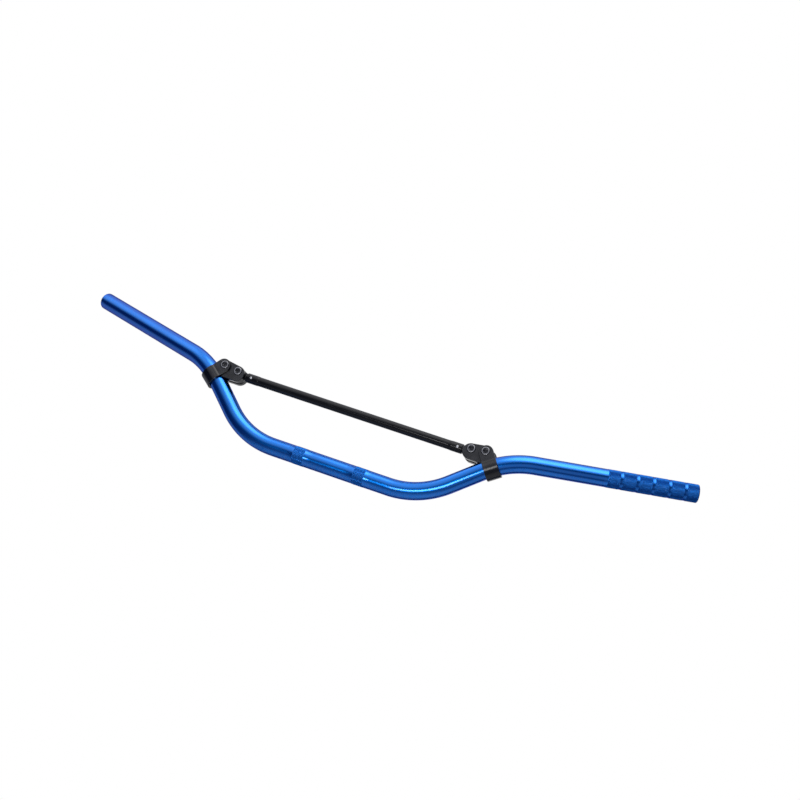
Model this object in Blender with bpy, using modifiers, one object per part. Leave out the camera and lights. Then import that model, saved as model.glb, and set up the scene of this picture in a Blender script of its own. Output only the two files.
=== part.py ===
"""Motocross handlebar: one bent aluminium tube with a bolted crossbar.

Metres, +Z up. The origin is the middle of the clamp section, on the tube's centre line.
+X runs towards the knurled grip end, and the grips sweep back towards +Y.
"""

import math

import bmesh
import bpy
from mathutils import Matrix, Vector
from mathutils.geometry import convex_hull_2d

# Handlebar tube
TUBE_DIAMETER = 0.0222
TUBE_WALL = 0.0040
CENTRE_BEND_X = 0.1185  # the middle's and the riser's centre lines cross here
GRIP_BEND_X = 0.2045  # the riser's and the grip's centre lines cross here
RISE = 0.0765
CENTRE_BEND_RADIUS = 0.105
GRIP_BEND_RADIUS = 0.110
GRIP_LENGTH = 0.2345  # from the crossing of the centre lines to the tube's end
BACK_SWEEP = math.radians(21.8)
UP_SWEEP = math.radians(13.8)
TUBE_EDGE = 0.0010  # rounding of the tube's outer end edges
BORE_CHAMFER = 0.0005

# Knurled bands, rolled into the tube
KNURL_HEIGHT = 0.00015
KNURL_RAMP = 0.0004
CLAMP_BAND_X = 0.0408
CLAMP_BAND_WIDTH = 0.0147
GRIP_KNURL_LENGTH = 0.1127
GRIP_BAND_PITCH = 0.01985
GRIP_BAND_GAP = 0.0039
FIRST_GRIP_GAP = 0.0169  # from the tube's end to the middle of the first plain gap

# Bracket, where the crossbar joins a riser
BRACKET_STATION = 0.2088  # along the tube's centre line, from its middle
BOLT_REACH = 0.0188  # from the tube's centre line to the clamp bolt
LINK_REACH = 0.01845  # from the clamp bolt inboard to the pivot bolt
LINK_DROP = 0.0019  # from the clamp bolt down to the pivot bolt
BLOCK_INSET = 0.0016  # how far each face of the block lies inside the tube's width
BLOCK_NOSE_RADIUS = 0.0074
BLOCK_EDGE = 0.0008
SADDLE_DEPTH = 0.0036
SADDLE_FOOT = 0.0107  # how far the saddle reaches down the riser from the bracket's station
EAR_RADIUS = 0.0100
EAR_DROP = 0.0035  # from the pivot bolt down to the middle of the ears' round end
STRAP_THICKNESS = 0.0030
STRAP_WIDTH = 0.0180
STRAP_END_SETBACK = 0.0019  # centre of the arms' round ends, back from the clamp bolt
STRAP_SHOULDER = 0.0025  # radius of the hollow where an arm leaves the turn round the tube
STRAP_EDGE = 0.0006

# Screws and nuts
SCREW_DIAMETER = 0.0060
SCREW_HEAD_DIAMETER = 0.0100
SCREW_HEAD_HEIGHT = 0.0026
SCREW_HEAD_EDGE = 0.0005
SOCKET_FLATS = 0.0050
SOCKET_DEPTH = 0.0018
STRAP_SINK = 0.0024  # depth of the clamp screw's seat below the strap's face
EAR_SINK = 0.0020  # depth of the pivot screw's seat below the ear's face
SINK_CLEARANCE = 0.0004
NUT_FLATS = 0.0100
NUT_HEIGHT = 0.0050
SCREW_TAIL = 0.0010  # what stands out past the nut

# Crossbar
CROSSBAR_DIAMETER = 0.0116
CROSSBAR_WALL = 0.0017
CROSSBAR_END_DIAMETER = 0.0122
CROSSBAR_END_LENGTH = 0.0140
CROSSBAR_TAPER = 0.0040
CROSSBAR_DROP = 0.0022  # the crossbar's centre line below the pivot bolts
NECK_LENGTH = 0.0022  # from the ears' tips to the crossbar tube's end
PLUG_LENGTH = 0.0180
COLLAR_DIAMETER = 0.0104
TONGUE_THICKNESS = 0.0060
TONGUE_INSET = 0.0008  # the tongue's outline, inside that of the ears
TONGUE_NECK_HEIGHT = 0.0088
TONGUE_ROOM = 0.0010
PIN_DIAMETER = 0.0030
PIN_INSET = 0.0060
PIN_RECESS = 0.0003

GAP = 0.0003  # left between pieces that seat on each other
ENVELOPE_REACH = 0.0380  # along the tube, either way from the bracket's station
CUT_MARGIN = 0.0030  # how far a cutter runs past what it cuts

# Fineness of the round faces
ARC_STEP = math.radians(4)
TUBE_SIDES = 24
BORE_SIDES = 16
ROUND_STEPS = 24
OUTLINE_STEPS = 28
HOLLOW_STEPS = 3
EDGE_STEPS = 3
SOFTENED_ANGLE = math.radians(50)  # corners sharper than this get their edge rounded
SHARP_ANGLE = math.radians(35)
SAME_POINT = 0.000001  # points closer than this are one

TUBE_RADIUS = TUBE_DIAMETER / 2
BORE_RADIUS = TUBE_RADIUS - TUBE_WALL
BLOCK_WIDTH = TUBE_DIAMETER - 2 * BLOCK_INSET
BACKWARDS = Vector((0, 1, 0))
UPWARDS = Vector((0, 0, 1))
FACING_FRONT = Matrix.Rotation(math.pi / 2, 4, "X")  # local Z turned to -Y, local Y to +Z
ALONG_X = Matrix.Rotation(math.pi / 2, 4, "Y")  # local Z turned to +X


def clear_scene():
    for thing in list(bpy.data.objects):
        bpy.data.objects.remove(thing)


def new_collection(name):
    collection = bpy.data.collections.new(name)
    bpy.context.scene.collection.children.link(collection)
    return collection


def new_material(name, colour, roughness, metallic):
    material = bpy.data.materials.new(name)
    material.use_nodes = True
    shader = material.node_tree.nodes["Principled BSDF"]
    shader.inputs["Base Color"].default_value = (*colour, 1)
    shader.inputs["Roughness"].default_value = roughness
    shader.inputs["Metallic"].default_value = metallic
    return material


clear_scene()
PARTS = new_collection("motocross_handlebar")
CUTTERS = new_collection("cutters")
BLUE_ANODISED = new_material("blue_anodised", (0.012, 0.105, 0.42), 0.28, 0.9)
BLACK_ANODISED = new_material("black_anodised", (0.022, 0.022, 0.024), 0.45, 0.6)
BLACK_STEEL = new_material("black_steel", (0.030, 0.030, 0.032), 0.38, 0.8)


class Line:
    """A straight stretch of the tube's centre line."""

    def __init__(self, start, end):
        self.start = start
        self.length = (end - start).length
        self.heading = (end - start).normalized()

    def at(self, distance):
        return self.start + self.heading * distance, self.heading

    def stations(self):
        return [0.0, self.length]


class Arc:
    """A bend of the tube's centre line, which starts along heading and turns towards inward."""

    def __init__(self, start, heading, inward, radius, turn):
        self.start = start
        self.heading = heading
        self.inward = inward
        self.radius = radius
        self.turn = turn
        self.length = radius * turn

    def at(self, distance):
        angle = distance / self.radius
        along = self.heading * math.sin(angle)
        across = self.inward * (1 - math.cos(angle))
        heading = self.heading * math.cos(angle) + self.inward * math.sin(angle)
        return self.start + (along + across) * self.radius, heading

    def stations(self):
        count = math.ceil(self.turn / ARC_STEP)
        return [self.length * i / count for i in range(count + 1)]


def half_route():
    """The right half of the tube's centre line, from the middle of the clamp section outwards."""
    middle = Vector((0, 0, 0))
    centre_bend = Vector((CENTRE_BEND_X, 0, 0))
    grip_bend = Vector((GRIP_BEND_X, 0, RISE))
    grip_heading = Vector(
        (
            math.cos(UP_SWEEP) * math.cos(BACK_SWEEP),
            math.cos(UP_SWEEP) * math.sin(BACK_SWEEP),
            math.sin(UP_SWEEP),
        )
    )
    end = grip_bend + grip_heading * GRIP_LENGTH
    corners = [middle, centre_bend, grip_bend, end]
    pieces = []
    start = middle
    for i, radius in ((1, CENTRE_BEND_RADIUS), (2, GRIP_BEND_RADIUS)):
        arriving = (corners[i] - corners[i - 1]).normalized()
        leaving = (corners[i + 1] - corners[i]).normalized()
        turn = arriving.angle(leaving)
        tangent = radius * math.tan(turn / 2)
        bend_start = corners[i] - arriving * tangent
        inward = (leaving - arriving * arriving.dot(leaving)).normalized()
        pieces.append(Line(start, bend_start))
        pieces.append(Arc(bend_start, arriving, inward, radius, turn))
        start = corners[i] + leaving * tangent
    pieces.append(Line(start, end))
    return pieces


ROUTE = half_route()
HALF_LENGTH = sum(piece.length for piece in ROUTE)


def route_at(distance):
    """Point and heading on the centre line. A negative distance lies on the left half."""
    left = abs(distance)
    for piece in ROUTE:
        if left <= piece.length or piece is ROUTE[-1]:
            break
        left -= piece.length
    point, heading = piece.at(left)
    if distance < 0:
        point = Vector((-point.x, point.y, point.z))
        heading = Vector((heading.x, -heading.y, -heading.z))
    return point, heading


def route_stations():
    """Distances along the right half at which a swept tube needs a ring."""
    found = []
    passed = 0.0
    for piece in ROUTE:
        found += [passed + station for station in piece.stations()]
        passed += piece.length
    return sorted(set(round(station, 7) for station in found))


def mesh_from(thing, name):
    """Turns a curve object into a mesh object with welded caps, in the same place."""
    bpy.context.view_layer.update()
    graph = bpy.context.evaluated_depsgraph_get()
    mesh = bpy.data.meshes.new_from_object(thing.evaluated_get(graph))
    mesh.name = name
    work = bmesh.new()
    work.from_mesh(mesh)
    bmesh.ops.remove_doubles(work, verts=work.verts, dist=SAME_POINT)
    bmesh.ops.recalc_face_normals(work, faces=work.faces)
    work.to_mesh(mesh)
    work.free()
    place = thing.matrix_world.copy()
    bpy.data.objects.remove(thing)
    made = bpy.data.objects.new(name, mesh)
    made.matrix_world = place
    return made


def shade_round(thing):
    thing.data.shade_smooth()
    thing.data.set_sharp_from_angle(angle=SHARP_ANGLE)


def as_part(thing, material):
    PARTS.objects.link(thing)
    thing.data.materials.clear()
    thing.data.materials.append(material)
    shade_round(thing)
    return thing


def as_cutter(thing):
    CUTTERS.objects.link(thing)
    thing.hide_render = True
    thing.display_type = "WIRE"
    return thing


def combine(thing, other, operation="DIFFERENCE"):
    modifier = thing.modifiers.new(other.name, "BOOLEAN")
    modifier.operation = operation
    modifier.object = other


def soften(thing, width):
    modifier = thing.modifiers.new("edge", "BEVEL")
    modifier.width = width
    modifier.segments = 2
    modifier.limit_method = "ANGLE"
    modifier.angle_limit = SOFTENED_ANGLE


def swept_tube(name, rings, sides):
    """A closed round bar along the centre line, from rings of (distance, radius)."""
    curve = bpy.data.curves.new(name, "CURVE")
    curve.dimensions = "3D"
    curve.bevel_depth = 1.0
    curve.bevel_resolution = (sides - 4) // 2
    curve.use_fill_caps = True
    spline = curve.splines.new("POLY")
    spline.points.add(len(rings) - 1)
    for point, (distance, radius) in zip(spline.points, rings):
        if abs(distance) > HALF_LENGTH:
            end, heading = route_at(math.copysign(HALF_LENGTH, distance))
            place = end + heading * (distance - math.copysign(HALF_LENGTH, distance))
        else:
            place = route_at(distance)[0]
        point.co = (*place, 1)
        point.radius = radius
    thing = bpy.data.objects.new(name, curve)
    bpy.context.scene.collection.objects.link(thing)
    return mesh_from(thing, name)


def plate(name, outline, thickness, place):
    """A flat solid: a closed outline in local X and Y, centred on its thickness along local Z."""
    curve = bpy.data.curves.new(name, "CURVE")
    curve.dimensions = "2D"
    curve.fill_mode = "BOTH"
    curve.extrude = thickness / 2
    spline = curve.splines.new("POLY")
    spline.points.add(len(outline) - 1)
    for point, (x, y) in zip(spline.points, outline):
        point.co = (x, y, 0, 1)
    spline.use_cyclic_u = True
    thing = bpy.data.objects.new(name, curve)
    bpy.context.scene.collection.objects.link(thing)
    thing.matrix_world = place
    return mesh_from(thing, name)


def turned(name, profile, place, closed=False):
    """A lathe-turned solid about local Z. The profile of (radius, height) runs top to bottom."""
    mesh = bpy.data.meshes.new(name)
    points = [(radius, 0, height) for radius, height in profile]
    edges = [(i, i + 1) for i in range(len(points) - 1)]
    if closed:
        edges.append((len(points) - 1, 0))
    mesh.from_pydata(points, edges, [])
    thing = bpy.data.objects.new(name, mesh)
    modifier = thing.modifiers.new("turn", "SCREW")
    modifier.steps = ROUND_STEPS
    modifier.render_steps = ROUND_STEPS
    modifier.use_merge_vertices = True
    modifier.merge_threshold = SAME_POINT
    modifier.use_smooth_shade = True
    thing.matrix_world = place
    return thing


def rod(name, radius, start, end, place, sides=ROUND_STEPS):
    """A cylinder, or a prism, about local Z between two heights."""
    work = bmesh.new()
    bmesh.ops.create_cone(
        work,
        cap_ends=True,
        segments=sides,
        radius1=radius,
        radius2=radius,
        depth=end - start,
        matrix=Matrix.Translation((0, 0, (start + end) / 2)),
    )
    mesh = bpy.data.meshes.new(name)
    work.to_mesh(mesh)
    work.free()
    thing = bpy.data.objects.new(name, mesh)
    thing.matrix_world = place
    return thing


def circle(centre, radius):
    turns = [2 * math.pi * i / OUTLINE_STEPS for i in range(OUTLINE_STEPS)]
    return [
        (centre[0] + radius * math.cos(turn), centre[1] + radius * math.sin(turn))
        for turn in turns
    ]


def hull(points):
    return [points[i] for i in convex_hull_2d([Vector(point) for point in points])]


def knurl_bands():
    """Start and end of every knurled band, as distances along the tube."""
    half = CLAMP_BAND_WIDTH / 2
    bands = [(x - half, x + half) for x in (-CLAMP_BAND_X, CLAMP_BAND_X)]
    limit = HALF_LENGTH - GRIP_KNURL_LENGTH
    outer = HALF_LENGTH
    gap_middle = HALF_LENGTH - FIRST_GRIP_GAP
    while outer - limit > 2 * KNURL_RAMP:
        inner = max(gap_middle + GRIP_BAND_GAP / 2, limit)
        bands.append((inner, outer))
        outer = gap_middle - GRIP_BAND_GAP / 2
        gap_middle -= GRIP_BAND_PITCH
    return bands


def end_rings(distance, radius):
    """Rings that round the tube's outer edge at an end."""
    rings = []
    for i in range(EDGE_STEPS + 1):
        angle = math.pi / 2 * i / EDGE_STEPS
        back = TUBE_EDGE * (1 - math.sin(angle))
        down = TUBE_EDGE * (1 - math.cos(angle))
        rings.append((distance - math.copysign(back, distance), radius - down))
    return rings


def handlebar_tube():
    """Bent tube with knurled bands, bored right through."""
    stations = route_stations()
    stations = [-station for station in stations[:0:-1]] + stations
    rings = [(station, TUBE_RADIUS) for station in stations[1:-1]]
    raised = TUBE_RADIUS + KNURL_HEIGHT
    for inner, outer in knurl_bands():
        rings += [(inner, TUBE_RADIUS), (inner + KNURL_RAMP, raised)]
        if outer < HALF_LENGTH:
            rings += [(outer - KNURL_RAMP, raised), (outer, TUBE_RADIUS)]
    rings += end_rings(HALF_LENGTH, raised)
    rings += end_rings(-HALF_LENGTH, TUBE_RADIUS)
    tube = as_part(swept_tube("handlebar_tube", sorted(rings), TUBE_SIDES), BLUE_ANODISED)

    bore = [(station, BORE_RADIUS) for station in stations[1:-1]]
    for end in (-HALF_LENGTH, HALF_LENGTH):
        inside = end - math.copysign(BORE_CHAMFER, end)
        outside = end + math.copysign(CUT_MARGIN, end)
        bore.append((inside, BORE_RADIUS))
        bore.append((outside, BORE_RADIUS + BORE_CHAMFER + CUT_MARGIN))
    combine(tube, as_cutter(swept_tube("bore", sorted(bore), BORE_SIDES)))


class Bracket:
    """Where one bracket's pieces lie. Side is 1 on the right and -1 on the left."""

    def __init__(self, side):
        self.side = side
        self.name = "right" if side > 0 else "left"
        self.seat, heading = route_at(side * BRACKET_STATION)
        outwards = Vector((heading.x, 0, heading.z)).normalized() * side
        self.down_riser = -outwards
        self.towards_bolt = Vector((-side * abs(outwards.z), 0, abs(outwards.x)))
        self.clamp_bolt = self.seat + self.towards_bolt * BOLT_REACH
        inboard = Vector((-side, 0, 0))
        self.pivot_bolt = self.clamp_bolt + inboard * LINK_REACH - UPWARDS * LINK_DROP
        self.ear_centre = self.pivot_bolt - UPWARDS * EAR_DROP
        self.crossbar_z = self.pivot_bolt.z - CROSSBAR_DROP
        self.tip_x = abs(self.ear_centre.x) - EAR_RADIUS
        self.tube_end_x = self.tip_x - NECK_LENGTH

    def front_place(self, point):
        """Local Z to the front, for pieces whose axis or thickness runs front to back."""
        return Matrix.Translation(point) @ FACING_FRONT

    def flat(self, point):
        """World point to an outline point of a front-facing plate placed at the clamp bolt."""
        return (point.x - self.clamp_bolt.x, point.z - self.clamp_bolt.z)

    def tube_envelope(self, label):
        """Cutter that leaves the seating gap round the tube near this bracket."""
        near = BRACKET_STATION - ENVELOPE_REACH
        far = BRACKET_STATION + ENVELOPE_REACH
        inside = [station for station in route_stations() if near < station < far]
        stations = sorted(self.side * station for station in [near, *inside, far])
        rings = [(station, TUBE_RADIUS + GAP) for station in stations]
        return as_cutter(swept_tube(f"{self.name}_{label}", rings, TUBE_SIDES))


def hairpin_edge(radius, arm, shoulder):
    """Turn round the tube from one arm to the other, with a hollow of radius shoulder at each."""
    shoulder_y = arm + shoulder
    shoulder_e = math.sqrt((radius + shoulder) ** 2 - shoulder_y**2)
    start = math.atan2(shoulder_y, shoulder_e)
    steps = OUTLINE_STEPS
    turns = [start + 2 * (math.pi - start) * i / steps for i in range(steps + 1)]
    edge = [(radius * math.cos(a) - BOLT_REACH, radius * math.sin(a)) for a in turns]
    if not shoulder:
        return edge
    for i in range(1, HOLLOW_STEPS + 1):
        lean = start + (math.pi / 2 - start) * i / HOLLOW_STEPS
        x = shoulder_e - BOLT_REACH - shoulder * math.cos(lean)
        y = shoulder_y - shoulder * math.sin(lean)
        edge = [(x, y), *edge, (x, -y)]
    return edge


def clamp_strap(bracket):
    """Hairpin strap round the outer side of the riser, with a round-ended arm on each face."""
    inner = BLOCK_WIDTH / 2 + GAP
    outer = inner + STRAP_THICKNESS
    turn = TUBE_RADIUS + GAP
    arm_end = STRAP_WIDTH / 2 + CUT_MARGIN
    outside = hairpin_edge(turn + STRAP_THICKNESS, outer, STRAP_SHOULDER)
    inside = hairpin_edge(turn, inner, 0)
    hairpin = [(arm_end, outer), *outside, (arm_end, -outer)]
    hairpin += [(arm_end, -inner), *reversed(inside), (arm_end, inner)]
    across = bracket.towards_bolt.cross(BACKWARDS)
    turned_in = Matrix((bracket.towards_bolt, BACKWARDS, across)).transposed().to_4x4()
    name = f"{bracket.name}_clamp_strap"
    place = Matrix.Translation(bracket.clamp_bolt) @ turned_in
    strap = plate(name, hairpin, STRAP_WIDTH + 2 * CUT_MARGIN, place)
    as_part(strap, BLACK_ANODISED)

    far_end = -BOLT_REACH - outer - CUT_MARGIN
    width = STRAP_WIDTH / 2
    arm_round = circle((-STRAP_END_SETBACK, 0), width)
    blank = hull([*arm_round, (far_end, -width), (far_end, width)])
    sideways = Matrix((bracket.towards_bolt, across, -BACKWARDS)).transposed().to_4x4()
    blank_place = Matrix.Translation(bracket.clamp_bolt) @ sideways
    trimmer = plate(f"{name}_blank", blank, 2 * (outer + CUT_MARGIN), blank_place)
    combine(strap, as_cutter(trimmer), "INTERSECT")
    soften(strap, STRAP_EDGE)
    combine(strap, bracket.tube_envelope("strap_envelope"))

    front = bracket.front_place(bracket.clamp_bolt)
    reach = outer + CUT_MARGIN
    shank = rod(f"{name}_hole", SCREW_DIAMETER / 2 + GAP, -reach, reach, front)
    sink_radius = SCREW_HEAD_DIAMETER / 2 + SINK_CLEARANCE
    sink = rod(f"{name}_sink", sink_radius, outer - STRAP_SINK, reach, front)
    combine(strap, as_cutter(shank))
    combine(strap, as_cutter(sink))


def clamp_block(bracket):
    """Block between the strap's arms: a saddle on the riser, and two ears for the crossbar."""
    name = f"{bracket.name}_clamp_block"
    saddle_line = bracket.seat + bracket.towards_bolt * (TUBE_RADIUS - SADDLE_DEPTH)
    corners = [
        bracket.flat(saddle_line - bracket.down_riser * BLOCK_NOSE_RADIUS),
        bracket.flat(saddle_line + bracket.down_riser * SADDLE_FOOT),
    ]
    nose = circle((0, 0), BLOCK_NOSE_RADIUS)
    ear = circle(bracket.flat(bracket.ear_centre), EAR_RADIUS)
    place = bracket.front_place(bracket.clamp_bolt)
    block = plate(name, hull(nose + ear + corners), BLOCK_WIDTH, place)
    as_part(block, BLACK_ANODISED)
    soften(block, BLOCK_EDGE)
    combine(block, bracket.tube_envelope("block_envelope"))

    root = EAR_RADIUS - TONGUE_INSET + TONGUE_ROOM
    past_tip = EAR_RADIUS + CUT_MARGIN
    tall = EAR_RADIUS + EAR_DROP + CUT_MARGIN
    x, z = bracket.flat(bracket.ear_centre)
    root_x = x + bracket.side * root
    tip_x = x - bracket.side * past_tip
    slot = [(root_x, z - tall), (tip_x, z - tall), (tip_x, z + tall), (root_x, z + tall)]
    cutter = plate(f"{name}_slot", slot, TONGUE_THICKNESS + 2 * GAP, place)
    combine(block, as_cutter(cutter))

    half = BLOCK_WIDTH / 2
    reach = half + CUT_MARGIN
    for label, bolt in (("clamp", bracket.clamp_bolt), ("pivot", bracket.pivot_bolt)):
        front = bracket.front_place(bolt)
        hole = rod(f"{name}_{label}_hole", SCREW_DIAMETER / 2 + GAP, -reach, reach, front)
        combine(block, as_cutter(hole))
    sink_radius = SCREW_HEAD_DIAMETER / 2 + SINK_CLEARANCE
    sink = rod(f"{name}_sink", sink_radius, half - EAR_SINK, reach, front)
    combine(block, as_cutter(sink))


def cap_screw(name, place, seat, tail):
    """Low-headed socket screw about local Z, with its head on top of its seat."""
    head = SCREW_HEAD_DIAMETER / 2
    shank = SCREW_DIAMETER / 2
    top = seat + SCREW_HEAD_HEIGHT
    profile = [
        (0, top),
        (head - SCREW_HEAD_EDGE, top),
        (head, top - SCREW_HEAD_EDGE),
        (head, seat),
        (shank, seat),
        (shank, tail + SCREW_HEAD_EDGE),
        (shank - SCREW_HEAD_EDGE, tail),
        (0, tail),
    ]
    screw = as_part(turned(name, profile, place), BLACK_STEEL)
    corner = SOCKET_FLATS / 2 / math.cos(math.pi / 6)
    socket = rod(f"{name}_socket", corner, top - SOCKET_DEPTH, top + CUT_MARGIN, place, 6)
    combine(screw, as_cutter(socket))


def hex_nut(name, place, face):
    """Hexagon nut about local Z, which hangs down from face."""
    corner = NUT_FLATS / 2 / math.cos(math.pi / 6)
    nut = as_part(rod(name, corner, face - NUT_HEIGHT, face, place, 6), BLACK_STEEL)
    crown = corner - SCREW_HEAD_EDGE
    bottom = face - NUT_HEIGHT
    slope = SCREW_HEAD_EDGE / 2
    profile = [
        (0, face + CUT_MARGIN),
        (crown, face + CUT_MARGIN),
        (crown, face),
        (corner + slope, face - SCREW_HEAD_EDGE),
        (corner + slope, bottom + SCREW_HEAD_EDGE),
        (crown, bottom),
        (crown, bottom - CUT_MARGIN),
        (0, bottom - CUT_MARGIN),
    ]
    combine(nut, as_cutter(turned(f"{name}_crown", profile, place)), "INTERSECT")
    bore_radius = SCREW_DIAMETER / 2 + GAP
    bore = rod(f"{name}_bore", bore_radius, bottom - CUT_MARGIN, face + CUT_MARGIN, place)
    combine(nut, as_cutter(bore))


def screws_and_nuts(bracket):
    """Clamp and pivot screws from the front, each with its nut at the back."""
    strap_face = BLOCK_WIDTH / 2 + GAP + STRAP_THICKNESS
    ear_face = BLOCK_WIDTH / 2
    for label, point, face, sink in (
        ("clamp", bracket.clamp_bolt, strap_face, STRAP_SINK),
        ("pivot", bracket.pivot_bolt, ear_face, EAR_SINK),
    ):
        place = bracket.front_place(point)
        nut_face = -face - GAP
        tail = nut_face - NUT_HEIGHT - SCREW_TAIL
        cap_screw(f"{bracket.name}_{label}_bolt", place, face - sink + GAP, tail)
        hex_nut(f"{bracket.name}_{label}_nut", place, nut_face)


def pin_place(bracket):
    """Local Z to the front at the pin, on the crossbar's centre line."""
    pin_x = bracket.side * (bracket.tube_end_x - PIN_INSET)
    return bracket.front_place(Vector((pin_x, bracket.seat.y, bracket.crossbar_z)))


def pin_hole(bracket, label):
    """Cutter for the pin's hole, through the crossbar tube or its end fitting."""
    reach = CROSSBAR_END_DIAMETER / 2 + CUT_MARGIN
    radius = PIN_DIAMETER / 2 + GAP
    return as_cutter(rod(f"{bracket.name}_{label}", radius, -reach, reach, pin_place(bracket)))


def crossbar_tube(brackets):
    """Straight black tube, slightly swelled at its ends, with a pin hole near each."""
    right = brackets[0]
    half = right.tube_end_x
    middle_radius = CROSSBAR_DIAMETER / 2
    end_radius = CROSSBAR_END_DIAMETER / 2
    bore = middle_radius - CROSSBAR_WALL
    swell = half - CROSSBAR_END_LENGTH
    profile = [
        (end_radius - BORE_CHAMFER, half),
        (end_radius, half - BORE_CHAMFER),
        (end_radius, swell),
        (middle_radius, swell - CROSSBAR_TAPER),
        (middle_radius, CROSSBAR_TAPER - swell),
        (end_radius, -swell),
        (end_radius, BORE_CHAMFER - half),
        (end_radius - BORE_CHAMFER, -half),
        (bore, -half),
        (bore, half),
    ]
    place = Matrix.Translation((0, right.seat.y, right.crossbar_z)) @ ALONG_X
    tube = as_part(turned("crossbar_tube", profile, place, closed=True), BLACK_ANODISED)
    for bracket in brackets:
        combine(tube, pin_hole(bracket, "tube_pin_hole"))


def crossbar_end(bracket):
    """End fitting: a plug in the crossbar tube, a collar, and a flat tongue with an eye."""
    name = f"{bracket.name}_crossbar_end"
    side = bracket.side
    collar_start = bracket.tube_end_x + GAP
    collar_end = bracket.tip_x - GAP
    plug_end = bracket.tube_end_x - PLUG_LENGTH
    plug_radius = CROSSBAR_DIAMETER / 2 - CROSSBAR_WALL - GAP
    collar_radius = COLLAR_DIAMETER / 2
    profile = [
        (0, collar_end),
        (collar_radius, collar_end),
        (collar_radius, collar_start),
        (plug_radius, collar_start),
        (plug_radius, plug_end),
        (0, plug_end),
    ]
    axis = Matrix.Translation((0, bracket.seat.y, bracket.crossbar_z))
    turn = ALONG_X if side > 0 else Matrix.Rotation(math.pi, 4, "Z") @ ALONG_X
    fitting = as_part(turned(name, profile, axis @ turn), BLACK_ANODISED)

    eye_centre = (side * abs(bracket.ear_centre.x), bracket.ear_centre.z - bracket.crossbar_z)
    rounded = circle(eye_centre, EAR_RADIUS - TONGUE_INSET)
    neck_x = side * (collar_start + collar_end) / 2
    half_neck = TONGUE_NECK_HEIGHT / 2
    outline = hull([*rounded, (neck_x, -half_neck), (neck_x, half_neck)])
    tongue = plate(f"{name}_tongue", outline, TONGUE_THICKNESS, axis @ FACING_FRONT)
    combine(fitting, as_cutter(tongue), "UNION")

    reach = TONGUE_THICKNESS
    front = bracket.front_place(bracket.pivot_bolt)
    eye_hole = rod(f"{name}_eye", SCREW_DIAMETER / 2 + GAP, -reach, reach, front)
    combine(fitting, as_cutter(eye_hole))
    combine(fitting, pin_hole(bracket, "end_pin_hole"))


def crossbar_pin(bracket):
    """Pin through the crossbar tube and its end fitting."""
    half = CROSSBAR_END_DIAMETER / 2 - PIN_RECESS
    pin = rod(f"{bracket.name}_crossbar_pin", PIN_DIAMETER / 2, -half, half, pin_place(bracket))
    as_part(pin, BLACK_STEEL)


handlebar_tube()
BRACKETS = [Bracket(1), Bracket(-1)]
crossbar_tube(BRACKETS)
for each in BRACKETS:
    clamp_strap(each)
    clamp_block(each)
    screws_and_nuts(each)
    crossbar_end(each)
    crossbar_pin(each)
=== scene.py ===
"""Looks of the motocross handlebar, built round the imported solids."""

import math

import bmesh
import bpy
from mathutils import Matrix, Vector
from mathutils.geometry import convex_hull_2d


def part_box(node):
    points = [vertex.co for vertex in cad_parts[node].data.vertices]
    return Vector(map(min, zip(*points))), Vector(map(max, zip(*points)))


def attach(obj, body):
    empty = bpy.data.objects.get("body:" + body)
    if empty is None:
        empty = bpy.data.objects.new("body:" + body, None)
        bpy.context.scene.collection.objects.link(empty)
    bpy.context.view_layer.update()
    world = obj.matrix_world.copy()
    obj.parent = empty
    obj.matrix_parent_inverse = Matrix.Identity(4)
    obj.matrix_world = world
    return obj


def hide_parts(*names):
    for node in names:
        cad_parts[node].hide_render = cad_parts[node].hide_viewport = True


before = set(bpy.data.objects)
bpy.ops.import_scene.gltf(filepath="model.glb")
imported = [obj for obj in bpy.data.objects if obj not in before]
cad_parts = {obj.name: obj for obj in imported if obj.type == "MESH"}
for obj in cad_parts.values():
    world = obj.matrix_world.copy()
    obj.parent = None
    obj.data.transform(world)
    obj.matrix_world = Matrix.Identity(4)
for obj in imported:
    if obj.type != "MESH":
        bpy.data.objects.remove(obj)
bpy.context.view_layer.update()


# The bar itself: one aluminium tube, 22.2 mm across, bent cold to shape. Its middle and its
# grip end carry knurled bands, rolled into the metal before it was anodised bright blue.
# Both ends are cut square and left open, so the bore runs right through.
BAR_RADIUS = 0.0111
BORE_RADIUS = 0.0071
MIDDLE_TO_CENTRE_BEND = 0.1185
MIDDLE_TO_GRIP_BEND = 0.2045
BAR_RISE = 0.0765
BEND_RADII = (0.105, 0.110)
GRIP_TO_BEND = 0.2345
BACK_SWEEP = math.radians(21.8)
UP_SWEEP = math.radians(13.8)
MOUTH_ROUNDING = 0.0010
MOUTH_STEPS = 6
BORE_CHAMFER = 0.0005

CLAMP_BAND_MIDDLE = 0.0408
CLAMP_BAND_WIDTH = 0.0147
GRIP_KNURL_LENGTH = 0.1127
GRIP_BAND_PITCH = 0.01985
GRIP_BAND_GAP = 0.0039
FIRST_GAP_FROM_END = 0.0169

KNURL_TOP = 0.01125  # radius over the diamonds
KNURL_FLOOR = 0.01106  # radius in the grooves
KNURL_AROUND = 48  # diamonds round the bar
DIAMOND_STEPS = 4  # columns across one diamond, and rows along it
KNURL_ROW = 0.00042  # along the bar
KNURL_RUN_IN = 0.0002  # from plain tube up to a band's first row
GRIP_GAP_DULLNESS = 0.6  # of the plain gaps between the grip's bands, where a band has 1
STRAIGHT_STEP = 0.012
BEND_STEP = 0.004
OUTER_COLUMNS = DIAMOND_STEPS * KNURL_AROUND
BORE_COLUMNS = 48
BAR_SHARP_ABOVE = math.radians(32)

BACKWARDS = Vector((0, 1, 0))


def straight_stretch(start, heading):
    """Gives point and heading at a distance along a straight stretch of the centre line."""
    return lambda distance: (start + heading * distance, heading)


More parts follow.
